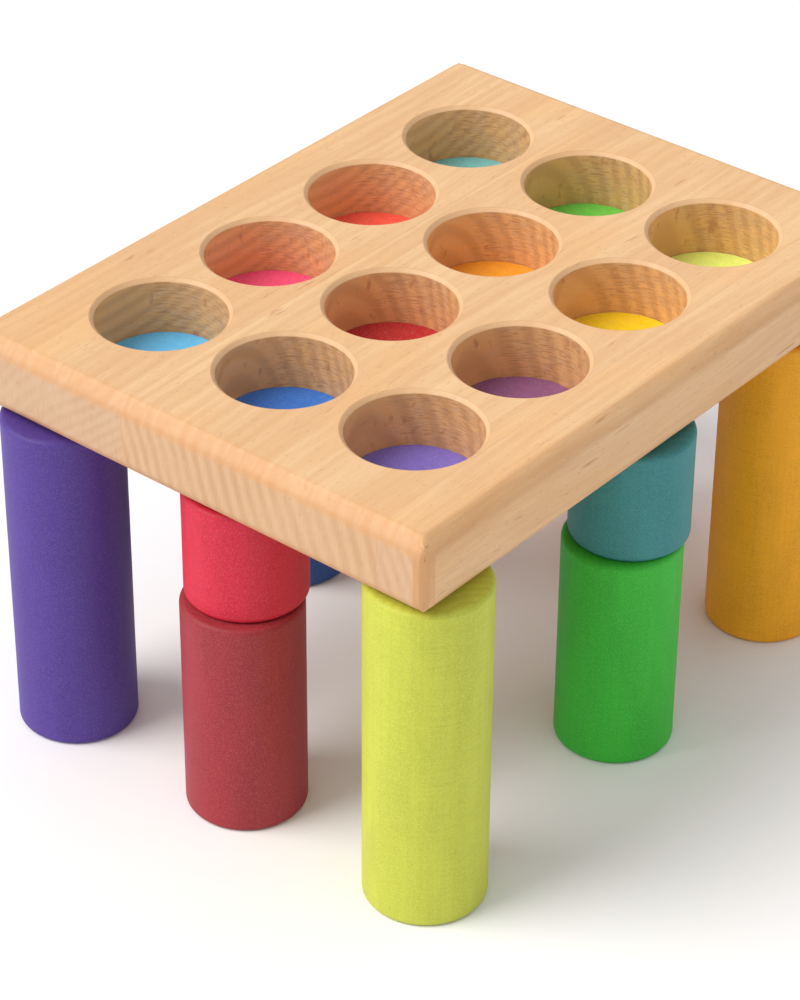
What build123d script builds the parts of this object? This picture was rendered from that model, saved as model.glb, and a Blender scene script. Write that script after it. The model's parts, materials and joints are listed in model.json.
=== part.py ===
from build123d import *
import os

# Sorting board with twelve coloured felt discs, standing on its twelve loose wooden rollers.
# Millimetres, +Z up. The origin is on the floor, under the middle of the board.
# +X is across the board's width, +Y is along its length, the way the wood grain runs.

os.makedirs("parts", exist_ok=True)

# Rollers: plain cylinders, all of one diameter
roller_diameter = 35.0
tall_height = 105.0
medium_height = 70.0
roller_bevel = 1.0

# Board
board_width = 165.0
board_length = 218.0
board_thickness = 24.0
edge_bevel = 4.0  # along the top and bottom edges
corner_bevel = 2.6  # down the four upright corners

# Holes: blind, flat-bottomed, in three columns and four rows
hole_columns = 3
hole_rows = 4
roller_play = 2.7  # how much wider a hole is than the roller that goes into it
hole_wall = 7.8  # wood left between two neighbouring holes
hole_depth = 20.0
hole_bevel = 1.1

# The board is glued up from three staves, each of blocks with one hole to a block. One long glue
# line runs between the first two columns of holes, and the other just outside the last column.
glue_line_margin = 2.0  # wood between the last column of holes and its glue line

# Coloured discs of thick felt, each in a slightly narrower seat at the bottom of a hole, its top
# level with the ledge round the seat
disc_thickness = 2.4
disc_ledge = 0.5  # width of the ledge
disc_gap = 0.15  # all round, between a disc and the wall of its seat

# How far each roller's side stands out past the board's edge, or is set in under the board
side_stand_out = 4.9
end_stand_out = 4.1
violet_side_inset = 6.1
lime_end_stand_out = 0.3
yellow_side_stand_out = 2.5
yellow_end_inset = 16.2
dark_red_stand_out = 1.7
pink_inset = 1.6
green_stand_out = 2.5
teal_stand_out = 2.5
blue_inset = 3.5
sky_inset = 2.6
orange_inset = 1.0
red_inset = 2.0

# How far each stacked roller stands from the middle line of its side of the board
dark_red_shift = 5.4
pink_shift = 4.1
green_shift = -1.5
teal_shift = 1.3
blue_shift = 4.5
sky_shift = 3.2
orange_shift = 4.5
red_shift = 5.2

# Sizes that follow from the values above
roller_radius = roller_diameter / 2
short_height = tall_height - medium_height  # a short roller on a medium one is as high as a tall one
hole_diameter = roller_diameter + roller_play
hole_spacing = hole_diameter + hole_wall
seat_diameter = hole_diameter - 2 * disc_ledge
disc_diameter = seat_diameter - 2 * disc_gap
board_underside = tall_height
board_top = board_underside + board_thickness
hole_bottom = board_top - hole_depth
disc_top = hole_bottom + disc_thickness

left_glue_line = -hole_spacing / 2
right_glue_line = hole_spacing + hole_diameter / 2 + glue_line_margin
middle_glue_line = hole_spacing / 2

# Where a roller's axis stands when its side just touches the line of the board's edge
side_line = board_width / 2 - roller_radius
end_line = board_length / 2 - roller_radius

# Names of the hole positions, row by row from the far end, each row from the -X side
disc_colours = [
    ["teal", "green", "lime"],
    ["red", "orange", "yellow"],
    ["pink", "dark_red", "plum"],
    ["sky_blue", "blue", "violet"],
]


def hole_place(column, row):
    """The middle of a hole, seen from above."""
    x = (column - (hole_columns - 1) / 2) * hole_spacing
    y = ((hole_rows - 1) / 2 - row) * hole_spacing
    return x, y


# The board's whole shape: one thick panel with bevelled edges and blind holes
with BuildPart() as panel:
    with BuildSketch(Plane.XY.offset(board_underside)):
        Rectangle(board_width, board_length)
    extrude(amount=board_thickness)
    chamfer(panel.edges().filter_by(Axis.Z), length=corner_bevel)
    edges_by_height = panel.edges().group_by(Axis.Z)
    chamfer(edges_by_height[0] + edges_by_height[-1], length=edge_bevel)
    with BuildSketch(Plane.XY.offset(disc_top)):
        with GridLocations(hole_spacing, hole_spacing, hole_columns, hole_rows):
            Circle(hole_diameter / 2)
    extrude(amount=board_top - disc_top, mode=Mode.SUBTRACT)
    with BuildSketch(Plane.XY.offset(hole_bottom)):
        with GridLocations(hole_spacing, hole_spacing, hole_columns, hole_rows):
            Circle(seat_diameter / 2)
    extrude(amount=disc_thickness, mode=Mode.SUBTRACT)
    with Locations((0, 0, board_top - hole_bevel)):
        with GridLocations(hole_spacing, hole_spacing, hole_columns, hole_rows):
            Cone(
                bottom_radius=hole_diameter / 2,
                top_radius=hole_diameter / 2 + hole_bevel,
                height=hole_bevel,
                align=(Align.CENTER, Align.CENTER, Align.MIN),
                mode=Mode.SUBTRACT,
            )

# Planes between the rows of holes, where the blocks of a stave meet end to end
block_ends = [Plane.XZ.offset((row - hole_rows / 2) * hole_spacing) for row in range(1, hole_rows)]

# The three staves, which meet face to face at the long glue lines
with BuildPart() as board_stave_left:
    add(panel.part)
    split(bisect_by=Plane.YZ.offset(left_glue_line), keep=Keep.BOTTOM)
    for block_end in block_ends:
        split(bisect_by=block_end, keep=Keep.BOTH)

board_stave_left.part.label = "board_stave_left"
export_step(board_stave_left.part, "parts/board_stave_left.step")

with BuildPart() as board_stave_middle:
    add(panel.part)
    split(bisect_by=Plane.YZ.offset(left_glue_line), keep=Keep.TOP)
    split(bisect_by=Plane.YZ.offset(right_glue_line), keep=Keep.BOTTOM)
    split(bisect_by=Plane.YZ.offset(middle_glue_line), keep=Keep.BOTH)
    for block_end in block_ends:
        split(bisect_by=block_end, keep=Keep.BOTH)

board_stave_middle.part.label = "board_stave_middle"
export_step(board_stave_middle.part, "parts/board_stave_middle.step")

with BuildPart() as board_stave_right:
    add(panel.part)
    split(bisect_by=Plane.YZ.offset(right_glue_line), keep=Keep.TOP)

board_stave_right.part.label = "board_stave_right"
export_step(board_stave_right.part, "parts/board_stave_right.step")


# The discs, one in each hole
for row in range(hole_rows):
    for column in range(hole_columns):
        disc_x, disc_y = hole_place(column, row)
        with BuildPart() as disc:
            with BuildSketch(Plane.XY.offset(hole_bottom)):
                with Locations((disc_x, disc_y)):
                    Circle(disc_diameter / 2)
            extrude(amount=disc_thickness)
        disc.part.label = "disc_" + disc_colours[row][column]
        export_step(disc.part, "parts/" + disc.part.label + ".step")


def make_roller(name, x, y, foot, height):
    """One roller standing upright, bevelled round both ends."""
    with BuildPart() as roller:
        with BuildSketch(Plane.XY.offset(foot)):
            with Locations((x, y)):
                Circle(roller_radius)
        extrude(amount=height)
        chamfer(roller.edges().filter_by(GeomType.CIRCLE), length=roller_bevel)
    roller.part.label = name
    export_step(roller.part, "parts/" + name + ".step")


# Tall rollers, one near each corner
violet_x = -(side_line - violet_side_inset)
lime_y = -(end_line + lime_end_stand_out)
yellow_x = side_line + yellow_side_stand_out
make_roller("tall_roller_violet", violet_x, -(end_line + end_stand_out), 0, tall_height)
make_roller("tall_roller_lime", side_line + side_stand_out, lime_y, 0, tall_height)
make_roller("tall_roller_yellow", yellow_x, end_line - yellow_end_inset, 0, tall_height)
make_roller("tall_roller_plum", -(side_line + side_stand_out), end_line + end_stand_out, 0, tall_height)

# Medium rollers, one at the middle of each side
make_roller("medium_roller_dark_red", dark_red_shift, -(end_line + dark_red_stand_out), 0, medium_height)
make_roller("medium_roller_green", side_line + green_stand_out, green_shift, 0, medium_height)
make_roller("medium_roller_orange", orange_shift, end_line - orange_inset, 0, medium_height)
make_roller("medium_roller_blue", -(side_line - blue_inset), blue_shift, 0, medium_height)

# Short rollers, one on top of each medium one, under the board
make_roller("short_roller_pink", pink_shift, -(end_line - pink_inset), medium_height, short_height)
make_roller("short_roller_teal", side_line + teal_stand_out, teal_shift, medium_height, short_height)
make_roller("short_roller_red", red_shift, end_line - red_inset, medium_height, short_height)
make_roller("short_roller_sky_blue", -(side_line - sky_inset), sky_shift, medium_height, short_height)
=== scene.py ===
import json
import math
import random

import bmesh
import bpy
from mathutils import Matrix, Vector


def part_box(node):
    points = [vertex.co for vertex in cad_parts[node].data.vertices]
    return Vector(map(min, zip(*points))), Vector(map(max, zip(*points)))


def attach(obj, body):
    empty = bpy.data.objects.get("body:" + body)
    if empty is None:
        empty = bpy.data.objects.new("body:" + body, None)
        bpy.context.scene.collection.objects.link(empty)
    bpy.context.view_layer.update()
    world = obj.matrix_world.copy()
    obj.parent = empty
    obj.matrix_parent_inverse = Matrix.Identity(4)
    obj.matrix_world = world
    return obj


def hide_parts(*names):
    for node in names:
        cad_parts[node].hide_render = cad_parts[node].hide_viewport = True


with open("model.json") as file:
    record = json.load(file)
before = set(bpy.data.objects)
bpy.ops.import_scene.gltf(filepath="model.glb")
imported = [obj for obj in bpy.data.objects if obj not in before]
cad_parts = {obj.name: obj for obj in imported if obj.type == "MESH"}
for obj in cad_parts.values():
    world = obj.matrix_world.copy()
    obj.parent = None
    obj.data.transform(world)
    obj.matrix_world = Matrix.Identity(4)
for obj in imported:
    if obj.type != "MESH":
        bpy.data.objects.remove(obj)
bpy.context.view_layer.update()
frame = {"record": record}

MM = 0.001
PER_METRE = 1000.0
SEED = 12

record = frame["record"]
nodes_of_body = record["behaviour"]["bodies"]
body_of_node = {node: body for body, nodes in nodes_of_body.items() for node in nodes}
holes = [mount for mount in record["mounts"] if mount["kind"] == "bore"]
colour_names = [hole["name"].removeprefix("hole_") for hole in holes]


# ---------------------------------------------------------------- colours (linear RGB)

STAINS = {
    "teal": (0.040, 0.249, 0.255),
    "green": (0.035, 0.495, 0.028),
    "lime": (0.581, 0.617, 0.060),
    "red": (0.608, 0.048, 0.032),
    "orange": (0.760, 0.240, 0.016),
    "yellow": (0.980, 0.420, 0.002),
    "pink": (0.645, 0.012, 0.043),
    "dark_red": (0.350, 0.022, 0.034),
    "plum": (0.212, 0.072, 0.162),
    "sky_blue": (0.135, 0.450, 0.700),
    "blue": (0.021, 0.080, 0.312),
    "violet": (0.083, 0.038, 0.292),
}

FELTS = {
    "teal": (0.199, 0.564, 0.560),
    "green": (0.158, 0.624, 0.064),
    "lime": (0.831, 0.980, 0.193),
    "red": (0.980, 0.114, 0.067),
    "orange": (0.980, 0.388, 0.015),
    "yellow": (0.980, 0.681, 0.002),
    "pink": (0.977, 0.089, 0.225),
    "dark_red": (0.513, 0.021, 0.019),
    "plum": (0.279, 0.099, 0.231),
    "sky_blue": (0.150, 0.585, 1.000),
    "blue": (0.045, 0.196, 0.682),
    "violet": (0.222, 0.161, 0.591),
}

WOOD_LIGHT = (0.785, 0.525, 0.290)
WOOD_MIDDLE = (0.725, 0.450, 0.232)
WOOD_WARM = (0.790, 0.465, 0.200)
WOOD_RING = (0.640, 0.355, 0.165)
WOOD_FLECK = (0.430, 0.215, 0.100)
WOOD_STREAK = (0.480, 0.190, 0.085)
WOOD_EDGE = (0.590, 0.290, 0.115)
WOOD_WALL = (0.880, 0.480, 0.170)
# Painted light: a pale wood laid on the hole bevels so they look as lit as the top where they turn away from
# the key
BEVEL_PAINTED_LIGHT = (0.800, 0.520, 0.280)


# ---------------------------------------------------------------- building materials from nodes

# Sockets of the mix node that carry its share, its two colours and its result
MIX_SHARE = 0
MIX_FIRST = 6
MIX_SECOND = 7
MIX_RESULT = 2

# The length of one wave of the wave texture at a scale of 1
WAVE_PERIOD = math.tau / 20.0


def add_node(tree, kind, values=None, links=None, **settings):
    """A new node with its settings, its constant inputs and its linked inputs."""
    node = tree.nodes.new(kind)
    for name, setting in settings.items():
        setattr(node, name, setting)
    for socket, value in (values or {}).items():
        node.inputs[socket].default_value = value
    for socket, source in (links or {}).items():
        tree.links.new(source, node.inputs[socket])
    return node


def calculate(tree, operation, first, second):
    """A maths node on two sources or plain numbers."""
    node = add_node(tree, "ShaderNodeMath", operation=operation)
    for socket, source in enumerate((first, second)):
        if isinstance(source, (int, float)):
            node.inputs[socket].default_value = source
        else:
            tree.links.new(source, node.inputs[socket])
    return node.outputs[0]


def remap(tree, source, low, high, to_low=0.0, to_high=1.0):
    """The source's range from low to high, smoothly spread over a new range."""
    values = {"From Min": low, "From Max": high, "To Min": to_low, "To Max": to_high}
    node = add_node(tree, "ShaderNodeMapRange", values, {"Value": source}, interpolation_type="SMOOTHSTEP")
    return node.outputs["Result"]


def blend(tree, share, first, second):
    """Two colours mixed by a share, each of them a source or a plain colour."""
    node = add_node(tree, "ShaderNodeMix", links={MIX_SHARE: share}, data_type="RGBA")
    for socket, source in ((MIX_FIRST, first), (MIX_SECOND, second)):
        if isinstance(source, tuple):
            node.inputs[socket].default_value = (*source, 1.0)
        else:
            tree.links.new(source, node.inputs[socket])
    return node.outputs[MIX_RESULT]


def lay_over(tree, colour, over, source, low, high, most):
    """A colour with another over it: none where the source is low, and the most where it is high."""
    return blend(tree, remap(tree, source, low, high, 0.0, most), colour, over)


def lay_where(tree, colour, over, where, share):
    """A colour with another over it, by a share of how strongly the mesh is marked."""
    return blend(tree, calculate(tree, "MULTIPLY", where, share), colour, over)


def mark(tree, name):
    """How strongly the mesh is marked with a name, from 0 to 1."""
    return add_node(tree, "ShaderNodeAttribute", attribute_name=name).outputs["Fac"]


def paler(colour, keep, white):
    """A plain colour with part of itself kept and some white added."""
    return tuple(min(1.0, keep * part + white) for part in colour)


def deeper(colour, keep):
    """A plain colour with only part of itself kept."""
    return tuple(keep * part for part in colour)


def stretched(tree, place, grain):
    """Places divided by a grain size in millimetres along each axis."""
    scale = tuple(1.0 / size for size in grain)
    return add_node(tree, "ShaderNodeMapping", {"Scale": scale}, {"Vector": place}).outputs[0]


def noise(tree, place, grain, detail=2.0, roughness=0.5):
    """Noise whose lumps have that size in millimetres along each axis."""
    values = {"Scale": 1.0, "Detail": detail, "Roughness": roughness}
    node = add_node(tree, "ShaderNodeTexNoise", values, {"Vector": stretched(tree, place, grain)})
    return node.outputs["Fac"]


def rings(tree, place, axis, ring_width, wobble):
    """Growth rings round an axis through the origin, soft on both sides."""
    values = {"Scale": WAVE_PERIOD / ring_width, "Distortion": wobble, "Detail": 2.0, "Detail Scale": 0.35}
    node = add_node(
        tree,
        "ShaderNodeTexWave",
        values,
        {"Vector": place},
        wave_type="RINGS",
        rings_direction=axis,
        wave_profile="SIN",
    )
    return node.outputs["Fac"]


def start_material(name, roughness, specular):
    """A material with its node tree, its shader and its texture coordinates."""
    material = bpy.data.materials.new(name)
    material.use_nodes = True
    tree = material.node_tree
    shader = tree.nodes["Principled BSDF"]
    shader.inputs["Roughness"].default_value = roughness
    shader.inputs["Specular IOR Level"].default_value = specular
    at = add_node(tree, "ShaderNodeTexCoord")
    return material, tree, shader, at


def place_from(tree, at, origin, turn=0.0):
    """Places on the object in millimetres, measured from an origin in metres and turned about Z."""
    moved = add_node(
        tree,
        "ShaderNodeVectorMath",
        {1: tuple(origin)},
        {0: at.outputs["Object"]},
        operation="SUBTRACT",
    )
    values = {"Scale": (PER_METRE,) * 3, "Rotation": (0.0, 0.0, turn)}
    return add_node(tree, "ShaderNodeMapping", values, {"Vector": moved.outputs[0]}).outputs[0]


def facing(tree, at, axis):
    """How squarely a surface faces along an axis: 1 squarely, 0 edge on."""
    parts = add_node(tree, "ShaderNodeSeparateXYZ", links={0: at.outputs["Normal"]})
    return calculate(tree, "POWER", calculate(tree, "ABSOLUTE", parts.outputs[axis], 0.0), 2.0)


def add_bump(tree, shader, height, depth):
    """Fine relief, its full height given in millimetres."""
    values = {"Distance": depth * MM, "Strength": 1.0}
    node = add_node(tree, "ShaderNodeBump", values, {"Height": height})
    tree.links.new(node.outputs[0], shader.inputs["Normal"])


# ---------------------------------------------------------------- materials

# The board's wood: the size of the slow noise that bends its grain, and how far, in millimetres
WARP_GRAIN = (70.0, 190.0, 70.0)
WARP_REACH = (16.0, 0.0, 16.0)
SEED_SHIFT = 0.37  # metres along the grain between two staves' patterns
UPRIGHT_SHARE = 0.60
UPRIGHT_PEAK = 0.25  # the most that end grain times side grain comes to


def wandering(tree, place):
    """Places moved aside by slow noise, so that the grain wanders."""
    warp = add_node(
        tree,
        "ShaderNodeTexNoise",
        {"Scale": 1.0, "Detail": 1.0},
        {"Vector": stretched(tree, place, WARP_GRAIN)},
    )
    centred = add_node(
        tree,
        "ShaderNodeVectorMath",
        {1: (0.5, 0.5, 0.5)},
        {0: warp.outputs["Color"]},
        operation="SUBTRACT",
    )
    moved = add_node(
        tree,
        "ShaderNodeVectorMath",
        {1: WARP_REACH},
        {0: centred.outputs[0], 2: place},
        operation="MULTIPLY_ADD",
    )
    return moved.outputs[0]


def wood_along(tree, bent, ring, ring_strength, band, fibre):
    """The wood's colour on a surface that runs along its grain."""
    cloud = noise(tree, bent, (17.0, 60.0, 17.0), detail=3.0)
    warmth = noise(tree, bent, (24.0, 46.0, 24.0), detail=3.0)
    fleck = noise(tree, bent, (0.40, 2.6, 0.40), detail=1.0)
    streak = noise(tree, bent, (2.0, 16.0, 2.0), detail=2.0)
    ring_share = calculate(
        tree,
        "MULTIPLY",
        remap(tree, ring, 0.20, 1.0),
        remap(tree, ring_strength, 0.3, 0.7, 0.04, 0.34),
    )
    colour = blend(tree, remap(tree, cloud, 0.30, 0.70), WOOD_MIDDLE, WOOD_LIGHT)
    colour = lay_over(tree, colour, WOOD_WARM, warmth, 0.42, 0.68, 0.50)
    colour = lay_over(tree, colour, WOOD_RING, band, 0.38, 0.66, 0.42)
    colour = blend(tree, ring_share, colour, WOOD_RING)
    colour = lay_over(tree, colour, WOOD_RING, fibre, 0.35, 0.75, 0.26)
    colour = lay_over(tree, colour, WOOD_FLECK, fleck, 0.62, 0.78, 0.42)
    return lay_over(tree, colour, WOOD_STREAK, streak, 0.67, 0.78, 0.60)


def wood_across(tree, place, ring, ring_strength, end_rings, end_colour):
    """The wood's colour on its end grain, with pores, a fine hatch and rings."""
    pore = noise(tree, place, (0.45, 0.45, 0.45), detail=2.0)
    hatch = noise(tree, place, (0.55, 8.0, 5.0), detail=2.0, roughness=0.6)
    ring_share = calculate(
        tree,
        "MULTIPLY",
        remap(tree, ring, 0.0, 1.0),
        remap(tree, ring_strength, 0.3, 0.7, 0.5 * end_rings, end_rings),
    )
    colour = lay_over(tree, end_colour, WOOD_RING, pore, 0.35, 0.70, 0.30)
    colour = lay_over(tree, colour, WOOD_FLECK, hatch, 0.45, 0.70, 0.30)
    return blend(tree, ring_share, colour, WOOD_FLECK)


def wood_on_edges(tree, colour, bent, end_grain, side_grain):
    """The wood's colour with its bevelled edges darkened, the upright ones most."""
    edge = mark(tree, "edge")
    uneven = noise(tree, bent, (2.2, 30.0, 30.0), detail=2.0)
    share = calculate(
        tree,
        "ADD",
        remap(tree, uneven, 0.35, 0.65, 0.16, 0.42),
        remap(tree, end_grain, 0.10, 0.50, 0.0, 0.26),
    )
    colour = lay_where(tree, colour, WOOD_EDGE, edge, share)
    upright = calculate(tree, "MULTIPLY", end_grain, side_grain)
    upright = calculate(tree, "MULTIPLY", upright, UPRIGHT_SHARE / UPRIGHT_PEAK)
    return lay_where(tree, colour, WOOD_EDGE, edge, upright)


def cutter_marks(tree, place, wall, end_grain):
    """Fine level scratches on the walls of the holes, strongest on end grain."""
    cut = noise(tree, place, (3.2, 3.2, 0.30), detail=2.0, roughness=0.6)
    share = calculate(tree, "MULTIPLY", remap(tree, cut, 0.50, 0.66, 0.0, 0.62), wall)
    return calculate(tree, "MULTIPLY", share, remap(tree, end_grain, 0.10, 0.6, 0.16, 1.0))


def wood_in_holes(tree, colour, place, wall, ring, band, cut_share):
    """The wood's colour with the walls and rims of the holes, and painted light that brightens their bevels.
    """
    knot = noise(tree, place, (3.0, 3.0, 5.0), detail=2.0)
    colour = lay_where(tree, colour, WOOD_WALL, wall, remap(tree, band, 0.35, 0.62, 0.25, 0.60))
    colour = lay_where(tree, colour, WOOD_FLECK, wall, remap(tree, ring, 0.15, 1.0, 0.0, 0.26))
    colour = lay_where(tree, colour, WOOD_STREAK, wall, remap(tree, knot, 0.62, 0.76, 0.0, 0.60))
    colour = blend(tree, cut_share, colour, WOOD_FLECK)
    # Painted light: the hole bevels are lightened where the key leaves them in shade
    colour = lay_where(tree, colour, BEVEL_PAINTED_LIGHT, mark(tree, "bevel"), 0.45)
    return lay_where(tree, colour, WOOD_FLECK, mark(tree, "rim"), 0.36)


def make_board_wood(name, pith, ring_width, wobble, end_rings, end_colour, seed):
    """Pale clear-finished hardwood, its grain along Y and its tree's middle at pith, (x, z) in metres."""
    material, tree, shader, at = start_material(name, roughness=0.48, specular=0.35)
    place = place_from(tree, at, (pith[0], seed * SEED_SHIFT, pith[1]))
    bent = wandering(tree, place)
    end_grain = facing(tree, at, "Y")
    side_grain = facing(tree, at, "X")
    wall = mark(tree, "hole_wall")
    ring = rings(tree, bent, "Y", ring_width, wobble)
    ring_strength = noise(tree, bent, (14.0, 160.0, 14.0))
    band = noise(tree, bent, (3.0, 90.0, 3.0), detail=3.0, roughness=0.6)
    fibre = noise(tree, bent, (0.45, 22.0, 0.45), detail=3.0, roughness=0.6)
    cut_share = cutter_marks(tree, place, wall, end_grain)

    colour = wood_along(tree, bent, ring, ring_strength, band, fibre)
    across = wood_across(tree, place, ring, ring_strength, end_rings, end_colour)
    colour = lay_over(tree, colour, across, end_grain, 0.15, 0.95, 0.75)
    colour = wood_on_edges(tree, colour, bent, end_grain, side_grain)
    colour = wood_in_holes(tree, colour, place, wall, ring, band, cut_share)
    tree.links.new(colour, shader.inputs["Base Color"])

    tree.links.new(remap(tree, fibre, 0.3, 0.7, 0.42, 0.56), shader.inputs["Roughness"])
    relief = calculate(tree, "SUBTRACT", fibre, calculate(tree, "MULTIPLY", cut_share, 2.0))
    add_bump(tree, shader, relief, depth=0.04)
    return material


def make_stain(name, colour, middle, seed):
    """Stained wood turned on a lathe, its grain along Z, with painted shade on its rounded ends. middle is
    the roller's middle, in metres.
    """
    material, tree, shader, at = start_material(name, roughness=0.55, specular=0.35)
    draw = random.Random(seed)
    place = place_from(tree, at, middle, turn=draw.uniform(0.0, math.tau))
    pith = add_node(
        tree,
        "ShaderNodeVectorMath",
        {1: (draw.uniform(9.0, 30.0), 0.0, draw.uniform(-400.0, 400.0))},
        {0: place},
        operation="ADD",
    ).outputs[0]

    ring = rings(tree, pith, "Z", draw.uniform(1.8, 3.0), 1.2)
    cloud = noise(tree, pith, (11.0, 11.0, 34.0), detail=4.0, roughness=0.6)
    fibre = noise(tree, pith, (0.6, 0.6, 30.0), detail=3.0, roughness=0.6)
    fleck = noise(tree, pith, (0.30, 0.30, 0.46), detail=2.0, roughness=0.6)
    lathe = noise(tree, pith, (12.0, 12.0, 0.26), detail=2.0)
    end_grain = facing(tree, at, "Z")

    pale = paler(colour, keep=0.95, white=0.045)
    deep = deeper(colour, keep=0.62)
    shade = lay_over(tree, colour, deep, cloud, 0.30, 0.72, 0.40)
    shade = lay_over(tree, shade, deep, fibre, 0.40, 0.75, 0.15)
    shade = lay_over(tree, shade, deep, ring, 0.55, 1.0, 0.08)
    shade = lay_over(tree, shade, deep, lathe, 0.45, 0.75, 0.34)
    shade = lay_over(tree, shade, pale, fleck, 0.46, 0.68, 0.85)
    shade = blend(tree, remap(tree, fleck, 0.28, 0.44, 0.45, 0.0), shade, deep)
    end_shade = lay_over(tree, shade, deep, ring, 0.2, 1.0, 0.22)
    shade = lay_over(tree, shade, end_shade, end_grain, 0.3, 0.9, 0.8)
    # Painted shade: both rounded ends are darkened where the roller meets the floor below and the board or
    # roller above
    shade = lay_where(tree, shade, deep, mark(tree, "rim"), 0.25)
    tree.links.new(shade, shader.inputs["Base Color"])

    tree.links.new(remap(tree, fleck, 0.3, 0.7, 0.50, 0.62), shader.inputs["Roughness"])
    relief = calculate(tree, "ADD", calculate(tree, "MULTIPLY", lathe, 0.8), fleck)
    add_bump(tree, shader, relief, depth=0.035)
    return material


def make_felt(name, colour, middle):
    """Thick dyed wool felt: matt, mottled, with paler loose fibres."""
    material, tree, shader, at = start_material(name, roughness=0.95, specular=0.15)
    place = place_from(tree, at, middle)
    mottle = noise(tree, place, (2.6, 2.6, 2.6), detail=3.0)
    speck = noise(tree, place, (0.32, 0.32, 0.32), detail=2.0, roughness=0.7)
    hair_one = noise(tree, place, (0.22, 2.6, 1.0), detail=2.0)
    hair_two = noise(tree, place, (2.2, 0.22, 1.0), detail=2.0)
    hair = calculate(tree, "MAXIMUM", hair_one, hair_two)

    pale = paler(colour, keep=0.75, white=0.18)
    deep = deeper(colour, keep=0.70)
    shade = lay_over(tree, colour, deep, mottle, 0.30, 0.70, 0.30)
    shade = blend(tree, remap(tree, speck, 0.30, 0.50, 0.60, 0.0), shade, deep)
    shade = lay_over(tree, shade, pale, speck, 0.52, 0.70, 0.60)
    shade = lay_over(tree, shade, pale, hair, 0.62, 0.74, 0.55)
    tree.links.new(shade, shader.inputs["Base Color"])

    shader.inputs["Sheen Weight"].default_value = 0.25
    shader.inputs["Sheen Roughness"].default_value = 0.6
    shader.inputs["Sheen Tint"].default_value = (*pale, 1.0)
    add_bump(tree, shader, calculate(tree, "ADD", speck, hair), depth=0.12)
    return material


# ---------------------------------------------------------------- meshes

# Edges that turn by more than this many degrees stay sharp in the shading
SHARP_ANGLE = 50.0
FELT_SHARP_ANGLE = 80.0


def add_piece(mesh_build, name, material, node, sharp_angle=SHARP_ANGLE):
    """Turns a bmesh into a piece that stands for a CAD node and rides on that node's body."""
    bmesh.ops.recalc_face_normals(mesh_build, faces=mesh_build.faces)
    mesh = bpy.data.meshes.new(name)
    mesh_build.to_mesh(mesh)
    mesh_build.free()
    mesh.shade_smooth()
    mesh.set_sharp_from_angle(angle=math.radians(sharp_angle))
    mesh.materials.append(material)
    piece = bpy.data.objects.new(name, mesh)
    bpy.context.scene.collection.objects.link(piece)
    weighting = piece.modifiers.new("flat_faces_stay_flat", "WEIGHTED_NORMAL")
    weighting.keep_sharp = True
    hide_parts(node)
    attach(piece, body_of_node[node])
    return piece


def join_loops(build, first, second):
    """Quads between two closed loops of as many vertices."""
    count = len(first)
    for index in range(count):
        after = (index + 1) % count
        build.faces.new((first[index], first[after], second[after], second[index]))


def round_loop(build, middle, radius, height, angles):
    """A closed loop of vertices on a circle."""
    return [
        build.verts.new((middle[0] + radius * math.cos(angle), middle[1] + radius * math.sin(angle), height))
        for angle in angles
    ]


# The board: staves with bevelled outer edges, and a bevelled, drilled and recessed hole in each cell
hole_columns = sorted({hole["pos_m"][0] for hole in holes})
hole_rows = sorted({hole["pos_m"][1] for hole in holes})
hole_spacing = hole_columns[1] - hole_columns[0]
hole_radius = holes[0]["dims"]["r_mm"] * MM
hole_wall_half = holes[0]["dims"]["length_mm"] * MM / 2
hole_wall_low = holes[0]["pos_m"][2] - hole_wall_half
hole_wall_high = holes[0]["pos_m"][2] + hole_wall_half

disc_low, disc_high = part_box("disc_teal")
DISC_GAP = 0.15 * MM
seat_radius = (disc_high.x - disc_low.x) / 2 + DISC_GAP

board_low, left_stave_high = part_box("board_stave_left")
board_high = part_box("board_stave_right")[1]
board_centre = (board_low + board_high) / 2
hole_bevel = board_high.z - hole_wall_high

EDGE_BEVEL = 4.0 * MM
CORNER_BEVEL = 2.6 * MM
# Each bevel's two axes, which it runs across, and its width
BEVELS = ((0, 1, CORNER_BEVEL), (0, 2, EDGE_BEVEL), (1, 2, EDGE_BEVEL))
BEVEL_PASSES = 3  # where bevels meet, moving a place onto one can take it off another
SOFT_LAND = 1.6 * MM  # how far from a bevel's own edge the softening reaches
SOFT_DROP = 0.30 * MM
SOFT_WITHIN = 1.5 * SOFT_LAND
RIM_SOFT = 0.15 * MM
RIM_LAND = 0.35 * MM
CELL_STEPS = 12
WALL_STEPS = 8
GLUE_GROOVE_DEPTH = 0.06 * MM
GLUE_GROOVE_WIDTH = 0.12 * MM
TINY = 0.001 * MM
SAME_LINE = 1e-7  # metres


def edge_lines(face, inward, bevel):
    """Lines across a bevelled edge: its face, within the bevel, its own edge, and past the softening."""
    return [face + inward * step for step in (0.0, bevel - SOFT_WITHIN, bevel, bevel + SOFT_LAND)]


def onto_bevels(place):
    """A place on the board's square outline, moved in onto the bevels, whose own edges are softened."""
    low_side = [place[axis] - board_low[axis] < board_high[axis] - place[axis] for axis in range(3)]
    square = [min(place[axis] - board_low[axis], board_high[axis] - place[axis]) for axis in range(3)]
    inset = list(square)
    for first, second, bevel in BEVELS * BEVEL_PASSES:
        missing = bevel - inset[first] - inset[second]
        if missing > 0.0:
            inset[first] += missing / 2
            inset[second] += missing / 2
    for first, second, bevel in BEVELS:
        for along, across in ((first, second), (second, first)):
            past = square[along] - bevel
            if square[across] < TINY and -TINY < past < SOFT_LAND:
                inset[across] += SOFT_DROP * (1.0 - past / SOFT_LAND) ** 2
    return Vector(
        board_low[axis] + inset[axis] if low_side[axis] else board_high[axis] - inset[axis]
        for axis in range(3)
    )


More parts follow.
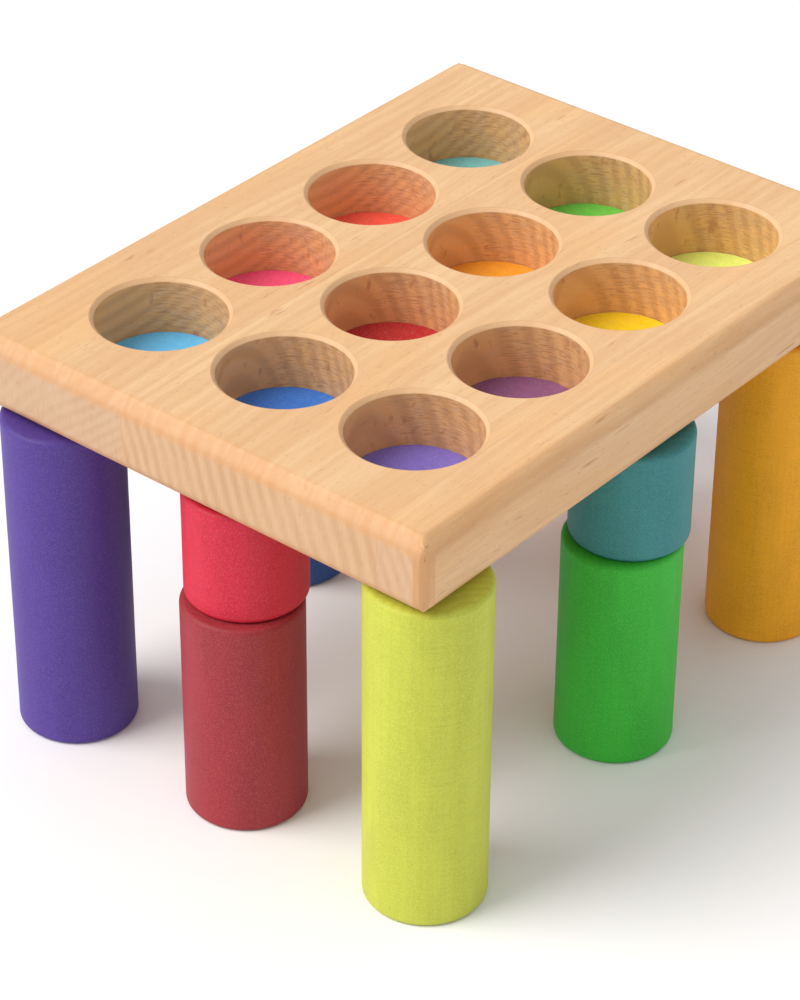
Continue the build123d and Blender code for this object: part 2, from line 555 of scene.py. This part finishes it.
def cell_lines(low, middle, high):
    """Lines across one hole's cell, at even angles as seen from the hole's middle."""
    tangents = [math.tan(math.radians(45.0) * step / CELL_STEPS) for step in range(CELL_STEPS + 1)]
    before = [middle - (middle - low) * tangent for tangent in reversed(tangents)]
    after = [middle + (high - middle) * tangent for tangent in tangents[1:]]
    return before + after


def in_order(lines):
    """Lines from low to high, without repeats."""
    kept = []
    for line in sorted(lines):
        if not kept or line - kept[-1] > SAME_LINE:
            kept.append(line)
    return kept


def hole_profile(top):
    """A hole's outline from the top down, as rows of radius, height, and marks for rim, bevel and wall."""
    rim_radius = hole_radius + hole_bevel
    profile = [
        (rim_radius + RIM_LAND, top, 0.0, 0.0, 0.0),
        (rim_radius + RIM_SOFT, top, 1.0, 0.0, 0.0),
        (rim_radius - RIM_SOFT, top - RIM_SOFT, 0.3, 1.0, 0.0),
        (hole_radius + RIM_SOFT, hole_wall_high + RIM_SOFT, 0.0, 1.0, 0.0),
        (hole_radius, hole_wall_high - RIM_SOFT, 0.2, 0.0, 1.0),
    ]
    for step in range(1, WALL_STEPS + 1):
        height = hole_wall_high + (hole_wall_low - hole_wall_high) * step / WALL_STEPS
        profile.append((hole_radius, height, 0.0, 0.0, 1.0))
    profile.append((seat_radius, hole_wall_low, 0.0, 0.0, 1.0))
    profile.append((seat_radius, disc_low.z, 0.0, 0.0, 1.0))
    return profile


def make_stave(node, name, material):
    """One stave of the board, with the holes whose middles are on it."""
    low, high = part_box(node)
    outer_left = abs(low.x - board_low.x) < MM
    outer_right = abs(high.x - board_high.x) < MM
    cell_low = low.x if outer_left else low.x + GLUE_GROOVE_WIDTH
    cell_high = high.x if outer_right else high.x - GLUE_GROOVE_WIDTH
    own_columns = [x for x in hole_columns if low.x < x < high.x]

    x_lines = [low.x, high.x, cell_low, cell_high]
    for bevel in (CORNER_BEVEL, EDGE_BEVEL):
        x_lines += edge_lines(low.x, 1.0, bevel) if outer_left else []
        x_lines += edge_lines(high.x, -1.0, bevel) if outer_right else []
    cells_x = {}
    for x in own_columns:
        span = (max(x - hole_spacing / 2, cell_low), min(x + hole_spacing / 2, cell_high))
        cells_x[x] = span
        x_lines += cell_lines(span[0], x, span[1])
    y_lines = edge_lines(low.y, 1.0, EDGE_BEVEL) + edge_lines(high.y, -1.0, EDGE_BEVEL)
    y_lines += edge_lines(low.y, 1.0, CORNER_BEVEL) + edge_lines(high.y, -1.0, CORNER_BEVEL)
    for y in hole_rows:
        y_lines += cell_lines(y - hole_spacing / 2, y, y + hole_spacing / 2)
    z_lines = edge_lines(low.z, 1.0, EDGE_BEVEL) + edge_lines(high.z, -1.0, EDGE_BEVEL)
    lines = [in_order(x_lines), in_order(y_lines), in_order(z_lines)]
    last = [len(axis_lines) - 1 for axis_lines in lines]

    build = bmesh.new()
    wall_mark = build.verts.layers.float.new("hole_wall")
    rim_mark = build.verts.layers.float.new("rim")
    # The bevel mark places the painted light on the hole bevels
    bevel_mark = build.verts.layers.float.new("bevel")
    edge_mark = build.verts.layers.float.new("edge")
    corners = {}

    def corner(i, j, k):
        """The vertex at a crossing of three lines, moved in onto the bevelled surface."""
        if (i, j, k) not in corners:
            square = Vector((lines[0][i], lines[1][j], lines[2][k]))
            place = onto_bevels(square)
            on_glue_line = (i == 0 and not outer_left) or (i == last[0] and not outer_right)
            if on_glue_line:
                inward = Vector((0.0, board_centre.y - place.y, board_centre.z - place.z))
                inward.y = math.copysign(1.0, inward.y) if j in (0, last[1]) else 0.0
                inward.z = math.copysign(1.0, inward.z) if k in (0, last[2]) else 0.0
                place += inward * GLUE_GROOVE_DEPTH
            corners[i, j, k] = build.verts.new(place)
            corners[i, j, k][edge_mark] = 0.0 if (place - square).length < TINY else 1.0
        return corners[i, j, k]

    def quad(*crossings):
        """A face between crossings of lines."""
        build.faces.new([corner(*crossing) for crossing in crossings])

    def line_number(axis, value):
        """Which line along an axis lies at a value."""
        return min(range(len(lines[axis])), key=lambda number: abs(lines[axis][number] - value))

    cells = {}
    for x, span in cells_x.items():
        for y in hole_rows:
            i_span = (line_number(0, span[0]), line_number(0, span[1]))
            j_span = (line_number(1, y - hole_spacing / 2), line_number(1, y + hole_spacing / 2))
            cells[x, y] = (*i_span, *j_span)

    def in_cell(i, j):
        """Whether a square of the top lies in a hole's cell."""
        return any(a <= i < b and c <= j < d for a, b, c, d in cells.values())

    for i in range(last[0]):
        for j in range(last[1]):
            for k in (0, last[2]):
                if k == 0 or not in_cell(i, j):
                    quad((i, j, k), (i + 1, j, k), (i + 1, j + 1, k), (i, j + 1, k))
    for i in range(last[0]):
        for k in range(last[2]):
            for j in (0, last[1]):
                quad((i, j, k), (i + 1, j, k), (i + 1, j, k + 1), (i, j, k + 1))
    for i, outer in ((0, outer_left), (last[0], outer_right)):
        if outer:
            for j in range(last[1]):
                for k in range(last[2]):
                    quad((i, j, k), (i, j + 1, k), (i, j + 1, k + 1), (i, j, k + 1))
        else:
            for j in range(last[1]):
                quad((i, j, 0), (i, j + 1, 0), (i, j + 1, last[2]), (i, j, last[2]))
            for j in (0, last[1]):
                quad(*[(i, j, k) for k in range(last[2] + 1)])

    for middle, (i_low, i_high, j_low, j_high) in cells.items():
        loop = [corner(i, j_low, last[2]) for i in range(i_low, i_high)]
        loop += [corner(i_high, j, last[2]) for j in range(j_low, j_high)]
        loop += [corner(i, j_high, last[2]) for i in range(i_high, i_low, -1)]
        loop += [corner(i_low, j, last[2]) for j in range(j_high, j_low, -1)]
        angles = [math.atan2(v.co.y - middle[1], v.co.x - middle[0]) for v in loop]

        for radius, height, rim, bevel, wall in hole_profile(high.z):
            next_loop = round_loop(build, middle, radius, height, angles)
            for vertex in next_loop:
                vertex[rim_mark] = rim
                vertex[bevel_mark] = bevel
                vertex[wall_mark] = wall
            join_loops(build, loop, next_loop)
            loop = next_loop
        build.faces.new(loop)
    return add_piece(build, name, material, node)


# Rollers: turned cylinders with softly rounded ends and a trace of the lathe's waviness
ROUND_SEGMENTS = 96
ROLLER_EDGE = 1.6 * MM
ROLLER_EDGE_STEPS = 4
ROLLER_RING_HEIGHT = 5.0 * MM
ROLLER_WAVINESS = 0.05 * MM
END_RINGS = (0.92, 0.7, 0.45, 0.2)
even_angles = [math.tau * step / ROUND_SEGMENTS for step in range(ROUND_SEGMENTS)]


def box_middle(low, high):
    """The middle of a box, seen from above."""
    return (low.x + high.x) / 2, (low.y + high.y) / 2


def make_roller(node, name, material, seed):
    """One upright roller."""
    low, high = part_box(node)
    middle = box_middle(low, high)
    radius = (high.x - low.x) / 2
    draw = random.Random(seed)
    build = bmesh.new()
    # The rim mark peaks halfway round each rounded end, where the stain paints shade
    rim_mark = build.verts.layers.float.new("rim")

    arc = [math.radians(90.0) * step / ROLLER_EDGE_STEPS for step in range(ROLLER_EDGE_STEPS + 1)]
    flat_radius = radius - ROLLER_EDGE
    side_steps = round((high.z - low.z - 2 * ROLLER_EDGE) / ROLLER_RING_HEIGHT)
    side_low = low.z + ROLLER_EDGE
    side_high = high.z - ROLLER_EDGE
    profile = [(flat_radius * share, low.z, 0.0) for share in reversed(END_RINGS)]
    for angle in arc:
        edge = (flat_radius + ROLLER_EDGE * math.sin(angle), side_low - ROLLER_EDGE * math.cos(angle))
        profile.append((*edge, math.sin(2 * angle)))
    for step in range(1, side_steps):
        height = side_low + (side_high - side_low) * step / side_steps
        profile.append((radius - draw.uniform(0.0, ROLLER_WAVINESS), height, 0.0))
    for angle in arc:
        edge = (flat_radius + ROLLER_EDGE * math.cos(angle), side_high + ROLLER_EDGE * math.sin(angle))
        profile.append((*edge, math.sin(2 * angle)))
    profile += [(flat_radius * share, high.z, 0.0) for share in END_RINGS]

    loops = []
    for ring_radius, height, rim in profile:
        loop = round_loop(build, middle, ring_radius, height, even_angles)
        for vertex in loop:
            vertex[rim_mark] = rim
        if loops:
            join_loops(build, loops[-1], loop)
        loops.append(loop)
    build.faces.new(loops[0])
    build.faces.new(loops[-1])
    return add_piece(build, name, material, node)


# Felt discs: soft and slightly uneven on top, their fuzzy upper edge spread over the ledge round them
FELT_EDGE = 0.45 * MM
FELT_FUZZ = 0.14 * MM
FELT_UNEVEN = 0.10 * MM
FELT_SPREAD = 0.60 * MM
FELT_RISE = 0.28 * MM
FELT_RINGS = 14
# The upper edge's outline, as shares of the spread outwards and of the rise upwards
FELT_LIP = ((0.7, 0.1), (1.0, 0.6), (0.4, 1.0))


def make_disc(node, name, material, seed):
    """One felt disc."""
    low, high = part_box(node)
    middle = box_middle(low, high)
    radius = (high.x - low.x) / 2
    draw = random.Random(seed)
    build = bmesh.new()
    flat_radius = radius - FELT_EDGE
    profile = [
        (flat_radius, low.z, 0.0, 0.0),
        (radius, low.z + FELT_EDGE, FELT_FUZZ, 0.0),
        (radius, high.z - FELT_EDGE, FELT_FUZZ, 0.0),
    ]
    for out, up in FELT_LIP:
        profile.append((radius + out * FELT_SPREAD, high.z + up * FELT_RISE, FELT_FUZZ, 0.0))
    for step in range(FELT_RINGS):
        profile.append((flat_radius * (1.0 - step / FELT_RINGS), high.z + FELT_RISE, 0.0, FELT_UNEVEN))
    loops = []
    for ring_radius, height, fuzz, uneven in profile:
        loop = round_loop(build, middle, ring_radius, height, even_angles)
        for vertex in loop:
            inward = Vector((middle[0] - vertex.co.x, middle[1] - vertex.co.y, 0.0)).normalized()
            vertex.co += inward * draw.uniform(0.0, fuzz)
            vertex.co.z -= draw.uniform(0.0, uneven)
        if loops:
            join_loops(build, loops[-1], loop)
        loops.append(loop)
    build.faces.new(loops[0])
    build.faces.new(loops[-1])
    disc = add_piece(build, name, material, node, sharp_angle=FELT_SHARP_ANGLE)
    return disc


# Where each stave's tree had its middle, how wide its rings are in millimetres and how much they
# waver, and the rings and colour of its end grain
STAVE_WOODS = {
    "left": {
        "pith": (0.055, 0.020),
        "ring_width": 3.2,
        "wobble": 2.0,
        "end_rings": 0.25,
        "end_colour": (0.515, 0.360, 0.252),
    },
    "middle": {
        "pith": (-0.123, 0.073),
        "ring_width": 4.4,
        "wobble": 2.6,
        "end_rings": 0.55,
        "end_colour": (0.560, 0.366, 0.226),
    },
    "right": {
        "pith": (-0.060, 0.060),
        "ring_width": 4.0,
        "wobble": 2.0,
        "end_rings": 0.40,
        "end_colour": (0.545, 0.362, 0.236),
    },
}
for number, (stave, grain) in enumerate(STAVE_WOODS.items()):
    wood = make_board_wood("board_wood_" + stave, seed=SEED + number, **grain)
    make_stave("board_stave_" + stave, "stave_" + stave, wood)

for number, node in enumerate(sorted(body_of_node)):
    low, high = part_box(node)
    middle = (*box_middle(low, high), 0.0)
    for colour in colour_names:
        if node == "disc_" + colour:
            felt = make_felt("felt_" + colour, FELTS[colour], middle)
            make_disc(node, "felt_disc_" + colour, felt, SEED + number)
        if node.endswith("_roller_" + colour):
            stain = make_stain("stain_" + colour, STAINS[colour], middle, SEED + number)
            make_roller(node, "roller_" + colour, stain, SEED + number)


# ---------------------------------------------------------------- floor, light and camera

FLOOR_HALF = 8.0
FLOOR_COLOUR = (0.90, 0.895, 0.905, 1.0)
FLOOR_ROUGHNESS = 0.7
FLOOR_SPECULAR = 0.2
floor_build = bmesh.new()
bmesh.ops.create_grid(floor_build, x_segments=1, y_segments=1, size=FLOOR_HALF)
floor_mesh = bpy.data.meshes.new("floor")
floor_build.to_mesh(floor_mesh)
floor_build.free()
floor = bpy.data.objects.new("floor", floor_mesh)
bpy.context.scene.collection.objects.link(floor)
floor_material = bpy.data.materials.new("floor_white")
floor_material.use_nodes = True
floor_shader = floor_material.node_tree.nodes["Principled BSDF"]
floor_shader.inputs["Base Color"].default_value = FLOOR_COLOUR
floor_shader.inputs["Roughness"].default_value = FLOOR_ROUGHNESS
floor_shader.inputs["Specular IOR Level"].default_value = FLOOR_SPECULAR
floor_mesh.materials.append(floor_material)

SKY_COLOUR = (0.97, 0.98, 1.0, 1.0)
SKY_STRENGTH = 0.68
world = bpy.data.worlds.new("studio")
world.use_nodes = True
background = world.node_tree.nodes["Background"]
background.inputs["Color"].default_value = SKY_COLOUR
background.inputs["Strength"].default_value = SKY_STRENGTH
bpy.context.scene.world = world

KEY_FROM = Vector((-0.42, -0.54, 0.73))
KEY_STRENGTH = 2.65
KEY_SPREAD = 40.0
KEY_COLOUR = (1.0, 0.97, 0.93)
key_data = bpy.data.lights.new("key", "SUN")
key_data.energy = KEY_STRENGTH
key_data.angle = math.radians(KEY_SPREAD)
key_data.color = KEY_COLOUR
key = bpy.data.objects.new("key", key_data)
key.rotation_mode = "QUATERNION"
key.rotation_quaternion = KEY_FROM.to_track_quat("Z", "Y")
bpy.context.scene.collection.objects.link(key)

bpy.context.scene.view_settings.view_transform = "Standard"

CAMERA_PLACE = Vector((0.5181, -0.6508, 0.6158))
CAMERA_AIM = Vector((-0.0004, -0.0181, 0.0600))
CAMERA_ROLL = 0.44
CAMERA_LENS = 122.1
CAMERA_SENSOR = 36.0
CAMERA_NEAR = 0.01
CAMERA_FAR = 50.0
camera_data = bpy.data.cameras.new("camera")
camera_data.lens = CAMERA_LENS
camera_data.sensor_width = CAMERA_SENSOR
camera_data.clip_start = CAMERA_NEAR
camera_data.clip_end = CAMERA_FAR
camera = bpy.data.objects.new("camera", camera_data)
camera.location = CAMERA_PLACE
aim = (CAMERA_AIM - CAMERA_PLACE).to_track_quat("-Z", "Y")
camera.rotation_mode = "QUATERNION"
camera.rotation_quaternion = aim @ Matrix.Rotation(math.radians(CAMERA_ROLL), 3, "Z").to_quaternion()
bpy.context.scene.collection.objects.link(camera)
bpy.context.scene.camera = camera
